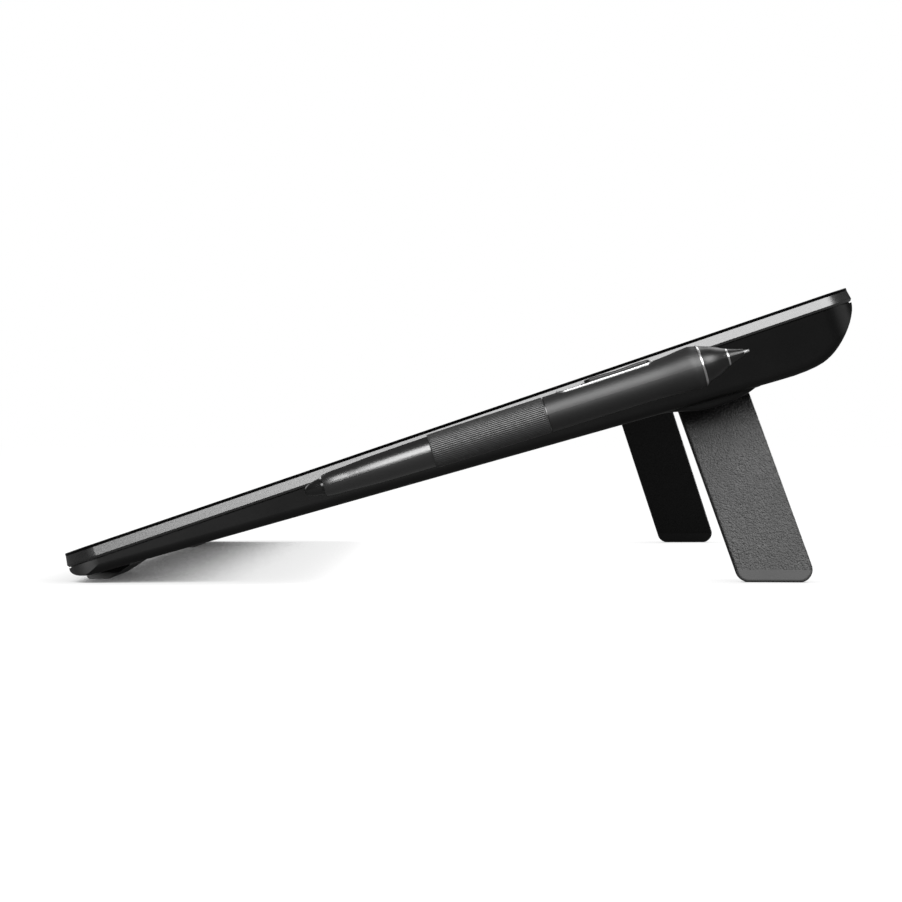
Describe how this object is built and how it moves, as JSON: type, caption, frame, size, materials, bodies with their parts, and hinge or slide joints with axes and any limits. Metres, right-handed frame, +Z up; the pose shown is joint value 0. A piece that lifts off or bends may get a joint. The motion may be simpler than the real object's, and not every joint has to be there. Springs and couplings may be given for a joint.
{
  "type": "pen drawing tablet",
  "caption": "Slim pen display tablet standing tilted on fold-out side legs, with its stylus held in an elastic loop on the side.",
  "frame": {"origin": "centre of the bottom of the bounding box, on the desk the tablet stands on", "axes": "+X to the right across the screen, +Y away from the user, +Z up; the screen faces up and leans back towards -Y"},
  "size_m": [0.4374, 0.2708, 0.1011],
  "materials": {
    "etched_glass": "etched anti-glare",
    "black_foam": "matte",
    "black_plastic": "matte",
    "display_black": "satin",
    "white_plastic": "matte",
    "green_board": "satin",
    "steel_plate": "brushed",
    "amber_film": "gloss",
    "nickel_steel": "polished",
    "button_plastic": "satin",
    "light_pipe": "clear",
    "satin_band": "grained satin",
    "shell_plastic": "fine texture",
    "black_steel": "black",
    "rubber_black": "matte",
    "leg_metal": "fine grain satin",
    "nib_plastic": "satin",
    "elastic_webbing": "ribbed",
    "pen_gloss": "gloss",
    "soft_touch": "soft touch",
    "bright_metal": "polished",
    "pen_satin": "satin",
    "eraser_plastic": "satin",
    "ferrite": "matte"
  },
  "bodies": {
    "tablet": {"backlight_unit": "white_plastic", "bezel_frame": "satin_band", "button_board": "green_board", "front_feet": "rubber_black", "front_glass": "etched_glass", "glass_gasket": "black_foam", "hinge_washers": "nickel_steel", "housing_screws": "black_steel", "lcd_panel": "display_black", "leg_hinge_bracket_left": "steel_plate", "leg_hinge_bracket_right": "steel_plate", "leg_hinge_cover_left": "shell_plastic", "leg_hinge_cover_right": "shell_plastic", "leg_hinge_pin_left": "nickel_steel", "leg_hinge_pin_right": "nickel_steel", "lock_slot_plate": "steel_plate", "main_board": "green_board", "nib_holder": "black_plastic", "nib_remover": "nickel_steel", "panel_cable": "amber_film", "panel_carrier": "black_plastic", "pen_loop": "elastic_webbing", "pen_loop_anchor": "black_plastic", "port_board": "green_board", "port_socket": "nickel_steel", "power_light": "light_pipe", "rear_feet": "rubber_black", "rear_housing": "shell_plastic", "sensor_board": "green_board", "shield_plate": "steel_plate", "spare_nibs": "nib_plastic"},
    "power_button": {"power_button": "button_plastic"},
    "leg_right": {"leg_right": "leg_metal", "leg_foot_right": "rubber_black"},
    "leg_left": {"leg_left": "leg_metal", "leg_foot_left": "rubber_black"},
    "pen": {"pen_barrel": "pen_gloss", "pen_grip": "soft_touch", "pen_ring": "bright_metal", "pen_nose_cone": "pen_satin", "pen_nose_ring": "bright_metal", "pen_nose_tip": "pen_satin", "pen_coil": "ferrite", "pen_circuit": "green_board", "pen_switch_bezel": "bright_metal", "pen_switch_inlay": "pen_satin"},
    "pen_nib": {"pen_nib": "nib_plastic"},
    "pen_eraser": {"pen_eraser": "eraser_plastic"},
    "pen_side_switch": {"pen_side_switch": "pen_satin"}
  },
  "joints": [
    {"name": "leg_right_fold", "type": "hinge", "parent": "tablet", "child": "leg_right", "pos_m": [0.17731, 0.08735, 0.06696], "axis": [0, 0.9466, 0.3223], "range_deg": [0, 102]},
    {"name": "leg_left_fold", "type": "hinge", "parent": "tablet", "child": "leg_left", "pos_m": [-0.19269, 0.08735, 0.06696], "axis": [0, -0.9466, -0.3223], "range_deg": [0, 102]},
    {"name": "pen_pull_out", "type": "slide", "parent": "tablet", "child": "pen", "axis": [0, 0.9529, 0.3034], "range_m": [0, 0.115]},
    {"name": "nib_press", "type": "slide", "parent": "pen", "child": "pen_nib", "axis": [0, -0.9529, -0.3034], "range_m": [0, 0.0004], "stiffness_N_per_m": 900},
    {"name": "eraser_press", "type": "slide", "parent": "pen", "child": "pen_eraser", "axis": [0, 0.9529, 0.3034], "range_m": [0, 0.0005], "stiffness_N_per_m": 900},
    {"name": "side_switch_rock", "type": "hinge", "parent": "pen", "child": "pen_side_switch", "pos_m": [0.21121, 0.05418, 0.07048], "axis": [1, 0, 0], "range_deg": [-1.4, 1.4], "stiffness_Nm_per_rad": 0.2},
    {"name": "power_press", "type": "slide", "parent": "tablet", "child": "power_button", "axis": [0, -0.9466, -0.3223], "range_m": [0, 0.0005], "stiffness_N_per_m": 900}
  ]
}
